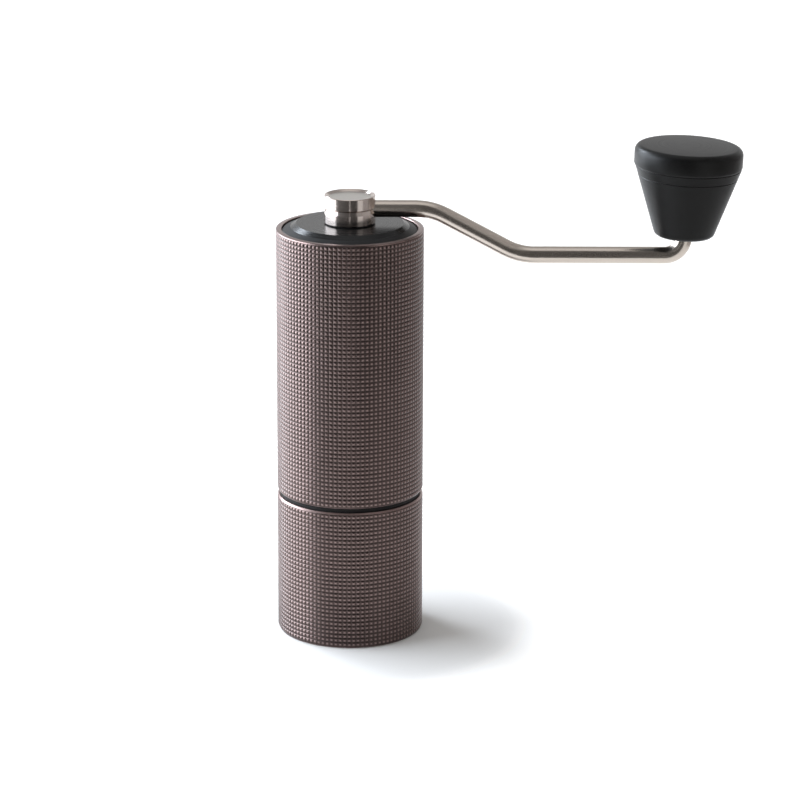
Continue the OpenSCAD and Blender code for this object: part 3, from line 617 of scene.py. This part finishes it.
def arc(centre, reach, start, end, steps):
    """points on a round stretch of an outline, between two angles in degrees"""
    turns = [math.radians(start + (end - start) * i / steps) for i in range(steps + 1)]
    return [(centre[0] + reach[0] * math.cos(t), centre[1] + reach[1] * math.sin(t)) for t in turns]


print("columns of pads:", COLUMNS, "groove floor, mm:", groove_floor)

# %% [markdown]
# An outline that starts on the axis makes a closed shape by itself. One that
# starts away from the axis is a ring, so its last point is joined to its first.

# %% Spin a wall
def spin_wall(outline):
    """an outline of radius and height, turned once round the upright axis"""
    work = bmesh.new()
    corners = [work.verts.new((r * MM, 0, z * MM)) for r, z in outline]
    lines = [work.edges.new(pair) for pair in zip(corners, corners[1:])]
    if outline[0][0] > 0:
        lines.append(work.edges.new((corners[-1], corners[0])))
    bmesh.ops.spin(
        work, geom=corners + lines, cent=(0, 0, 0), axis=(0, 0, 1), dvec=(0, 0, 0),
        angle=2 * math.pi, steps=COLUMNS, use_merge=True,
    )
    bmesh.ops.remove_doubles(work, verts=work.verts, dist=TOUCH)
    bmesh.ops.recalc_face_normals(work, faces=work.faces)
    return work


print("walls are spun in", COLUMNS, "steps")

# %% [markdown]
# The cells to cut are found by where they are: all their corners lie on the floor
# of the grooves, between the first ring and the last. Then every corner of the
# mesh keeps how much painted shade it gets, for the finish to read. The tops of the
# pads and all that lies deeper than the grooves, such as the inside of the wall,
# get none, and the painted shade deepens down the slopes towards the floor of the groove.

# %% Cut the pads
PAD_SLOPE, PAD_RISE = 0.42 * MM, 0.22 * MM
TOP_SLOPE, TOP_RISE = 0.14 * MM, 0.08 * MM
NEAR = 0.01 * MM
# how far the painted groove shade reaches, and how much pad colour is left at the top of a slope
TOP_DEPTH, INSIDE_DEPTH, SLOPE_UNSHADED = 0.15, 1.2, 0.4


def unshaded_share(depth):
    """how much pad colour the painted groove shade leaves at a depth, which counts 1 on the floor
    of a groove
    """
    if depth < TOP_DEPTH or depth > INSIDE_DEPTH:
        return 1.0
    if depth < 1:
        return SLOPE_UNSHADED * (1 - depth) ** 0.5
    return 0.0


def cut_pads(work, low, high):
    """turns the cells of the wall between two heights into raised pads"""
    cells = []
    for face in work.faces:
        corners = [v.co for v in face.verts]
        on_wall = all(abs(c.xy.length - groove_floor * MM) < NEAR for c in corners)
        in_band = all(low * MM - TOUCH < c.z < high * MM + TOUCH for c in corners)
        if on_wall and in_band:
            cells.append(face)
    for slope, rise in ((PAD_SLOPE, PAD_RISE), (TOP_SLOPE, TOP_RISE)):
        bmesh.ops.inset_individual(
            work, faces=cells, thickness=slope, depth=rise, use_even_offset=True,
        )
    # the mask of painted groove shade: 1 where none is painted, 0 where it is full
    pad = work.verts.layers.float.new("pad")
    for vert in work.verts:
        depth = WALL_RADIUS - vert.co.xy.length / MM
        vert[pad] = unshaded_share(depth / GROOVE_DEPTH)
    return len(cells)


print("a pad stands", round((PAD_RISE + TOP_RISE) / MM, 2), "mm over its groove")

# %% [markdown]
# Every mesh becomes an object in the same way. Its faces are shaded smooth, and
# edges that bend by more than 30 degrees are marked sharp, so that a round wall
# looks round and a corner stays a corner.

# %% Finish a mesh
SHARP = math.radians(30)


def finish_mesh(work, name, finish):
    """makes the mesh an object, smooth except at its sharp edges"""
    data = bpy.data.meshes.new(name)
    work.to_mesh(data)
    work.free()
    data.polygons.foreach_set("use_smooth", [True] * len(data.polygons))
    data.set_sharp_from_angle(angle=SHARP)
    data.materials.append(finish)
    piece = bpy.data.objects.new(name, data)
    bpy.context.scene.collection.objects.link(piece)
    print(name, "faces:", len(data.polygons))
    return piece


# %% [markdown]
# The sleeve is a plain tube inside. Outside, a smooth band is left at its rim,
# above the last ring of pads, with a small bevel round it.

# %% Sleeve
SLEEVE_LOW, SLEEVE_HIGH, SLEEVE_RINGS = 52.55, 146.9, 62
SLEEVE_BORE, SLEEVE_FOOT, SLEEVE_RIM = 24.0, 52.2, 147.5
outline = [(SLEEVE_BORE, SLEEVE_FOOT), (FOOT_RADIUS, SLEEVE_FOOT)]
outline += grip_points(SLEEVE_LOW, SLEEVE_HIGH, SLEEVE_RINGS)
outline += [(WALL_RADIUS, 147.0), (WALL_RADIUS, 147.15), (25.88, 147.4), (25.6, SLEEVE_RIM)]
outline += [(24.15, SLEEVE_RIM), (SLEEVE_BORE, 147.35)]
work = spin_wall(outline)
print("pads on the sleeve:", cut_pads(work, SLEEVE_LOW, SLEEVE_HIGH))
sleeve = finish_mesh(work, "knurled_sleeve", bronze)
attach(sleeve, "grinder_body")
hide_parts("outer_sleeve")

# %% [markdown]
# The cup is spun in the same way, but closed: its outline starts and ends on the
# axis, goes round the recess for the foot pad, up the wall and down the inside,
# and turns a round corner on to the floor of the cup.

# %% Cup
CUP_LOW, CUP_HIGH, CUP_RINGS = 0.75, 49.8, 32
CUP_FOOT, CUP_MOUTH, CUP_BORE, CUP_CORNER = 0.2, 50.5, 24, 4
RECESS_RADIUS, RECESS_TOP = 22, 1.4
corner_height = 7.2
outline = [(0, RECESS_TOP), (RECESS_RADIUS, RECESS_TOP)]
outline += [(RECESS_RADIUS, CUP_FOOT), (FOOT_RADIUS, CUP_FOOT)]
outline += grip_points(CUP_LOW, CUP_HIGH, CUP_RINGS)
outline += [(WALL_RADIUS, 49.95), (25.45, CUP_MOUTH), (24.5, CUP_MOUTH), (CUP_BORE, 50)]
outline += arc((CUP_BORE - CUP_CORNER, corner_height), (CUP_CORNER, CUP_CORNER), 0, -90, 6)
outline.append((0, corner_height - CUP_CORNER))
work = spin_wall(outline)
print("pads on the cup:", cut_pads(work, CUP_LOW, CUP_HIGH))
cup = finish_mesh(work, "knurled_cup", bronze)
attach(cup, "catch_cup_body")
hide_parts("catch_cup")

# %% [markdown]
# ## The threads
# The sleeve screws onto the cup by a coarse thread with three starts, so little
# more than a turn frees it. A thread is a small ridge that climbs as it goes
# round. The spin operator does both at once: every step turns the ridge's outline
# a little and lifts it a little. The ridges of the collar lie halfway between the
# ridges of the cup, and because both climb 6 mm in a turn, they stay clear of each
# other all the way off.

# %% Wind a ridge
THREAD_LEAD = 6 * MM
THREAD_STARTS = 3
ROOT_HALF, CREST_HALF = 0.5, 0.2
STEPS_PER_TURN = 72


def wind(work, outline, turns, lead):
    """winds a closed outline of (radius, height) pairs round the upright axis"""
    corners = [work.verts.new((r, 0, z)) for r, z in outline]
    lines = [work.edges.new(pair) for pair in zip(corners, corners[1:] + corners[:1])]
    work.faces.new(corners)
    steps = round(STEPS_PER_TURN * turns)
    swept = bmesh.ops.spin(
        work, geom=corners + lines, cent=(0, 0, 0), axis=(0, 0, 1),
        dvec=(0, 0, lead * turns / steps), angle=2 * math.pi * turns, steps=steps,
    )
    last = [part for part in swept["geom_last"] if isinstance(part, bmesh.types.BMVert)]
    work.faces.new(last)


def wind_thread(name, root, crest, low, climb, finish):
    """a ridge for every start, from its root to its crest radius, in millimetres"""
    work = bmesh.new()
    outline = [(root, -ROOT_HALF), (crest, -CREST_HALF), (crest, CREST_HALF), (root, ROOT_HALF)]
    placed = [(r * MM, (low + z) * MM) for r, z in outline]
    wind(work, placed, climb * MM / THREAD_LEAD, THREAD_LEAD)
    ridge = work.verts[:] + work.edges[:] + work.faces[:]
    for start in range(1, THREAD_STARTS):
        turn = Matrix.Rotation(2 * math.pi * start / THREAD_STARTS, 3, "Z")
        copy = bmesh.ops.duplicate(work, geom=ridge)["geom"]
        corners = [part for part in copy if isinstance(part, bmesh.types.BMVert)]
        bmesh.ops.rotate(work, cent=(0, 0, 0), matrix=turn, verts=corners)
    bmesh.ops.recalc_face_normals(work, faces=work.faces)
    return finish_mesh(work, name, finish)


print("thread: lead, mm:", THREAD_LEAD / MM, "starts:", THREAD_STARTS)

# %% [markdown]
# The collar's ridges stand outwards and the cup's inwards. Their crests reach past
# each other by about a tenth of a millimetre, which is what holds the two together.

# %% Collar and cup threads
collar_thread = wind_thread(
    "collar_thread", root=23.6, crest=23.9, low=43.6, climb=6.4, finish=collar_black,
)
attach(collar_thread, "grinder_body")
cup_thread = wind_thread("cup_thread", root=24.1, crest=23.78, low=44.6, climb=4.4, finish=bronze)
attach(cup_thread, "catch_cup_body")

# %% [markdown]
# ## The burr spring
# The spring holds the inner burr down against the dial. It's wound in the same way
# as a thread, from a round wire, a little too long, and then both its ends are cut
# flat, as real ones are ground. When the dial lifts the burr, the spring has to get
# shorter.

# %% Spring
SPRING_LOW, SPRING_HIGH, SPRING_TURNS = 51.0, 65.7, 6.5
SPRING_RADIUS, WIRE, WIRE_SIDES = 5.3, 1.1, 10
CUT_OFF = 0.02
wire = arc((SPRING_RADIUS, SPRING_LOW), (WIRE / 2, WIRE / 2), 0, 360, WIRE_SIDES)[:-1]
coil_lead = (SPRING_HIGH - SPRING_LOW) / SPRING_TURNS
work = bmesh.new()
wind(work, [(r * MM, z * MM) for r, z in wire], SPRING_TURNS, coil_lead * MM)
for height, way in ((SPRING_LOW + CUT_OFF, -1), (SPRING_HIGH - CUT_OFF, 1)):
    everything = work.verts[:] + work.edges[:] + work.faces[:]
    cut = bmesh.ops.bisect_plane(
        work, geom=everything, plane_co=(0, 0, height * MM), plane_no=(0, 0, way),
        clear_outer=True,
    )
    rims = [part for part in cut["geom_cut"] if isinstance(part, bmesh.types.BMEdge)]
    bmesh.ops.holes_fill(work, edges=rims, sides=0)
bmesh.ops.recalc_face_normals(work, faces=work.faces)
spring = finish_mesh(work, "wound_spring", finishes["spring_steel"])
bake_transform(spring)
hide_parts("burr_spring")

# %% [markdown]
# ## The cap of the knob
# The knob is moulded in two pieces, a body and a cap, and the cap has a broad soft
# shoulder where the palm rests. One outline, from the screw's well up round the
# shoulder to the crown, is spun into the cap. It's made upright and then leaned
# with the knob.

# %% Knob cap
KNOB_FOOT = (116.75 * MM, 0, 145.05 * MM)
KNOB_LEAN = math.radians(2.4)
WELL_RADIUS, WELL_TOP = 5.8, 25.9
SPIGOT_RADIUS, SPIGOT_FOOT = 8.8, 22.7
SEAM, CAP_RADIUS, CROWN = 24.9, 18.93, 32.27
SHOULDER_OUT, SHOULDER_DOWN, DOME = 2.4, 2.5, 0.35
CROWN_STEPS = 4
crown_radius = CAP_RADIUS - SHOULDER_OUT
outline = [(0, WELL_TOP), (WELL_RADIUS, WELL_TOP), (WELL_RADIUS, SPIGOT_FOOT)]
outline += [(SPIGOT_RADIUS, SPIGOT_FOOT), (SPIGOT_RADIUS, SEAM)]
outline += [(18.38, SEAM), (18.66, 25.12), (CAP_RADIUS, 25.75)]
shoulder_centre = (crown_radius, CROWN - SHOULDER_DOWN)
outline += arc(shoulder_centre, (SHOULDER_OUT, SHOULDER_DOWN), 0, 90, 12)
for step in range(1, CROWN_STEPS + 1):
    share = 1 - step / CROWN_STEPS
    outline.append((crown_radius * share, CROWN + DOME * (1 - share * share)))
work = spin_wall(outline)
leaned = Matrix.Rotation(KNOB_LEAN, 3, "Y")
bmesh.ops.rotate(work, cent=(0, 0, 0), matrix=leaned, verts=work.verts)
bmesh.ops.translate(work, vec=KNOB_FOOT, verts=work.verts)
cap = finish_mesh(work, "soft_cap", knob_black)
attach(cap, "knob")
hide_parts("knob_cap")
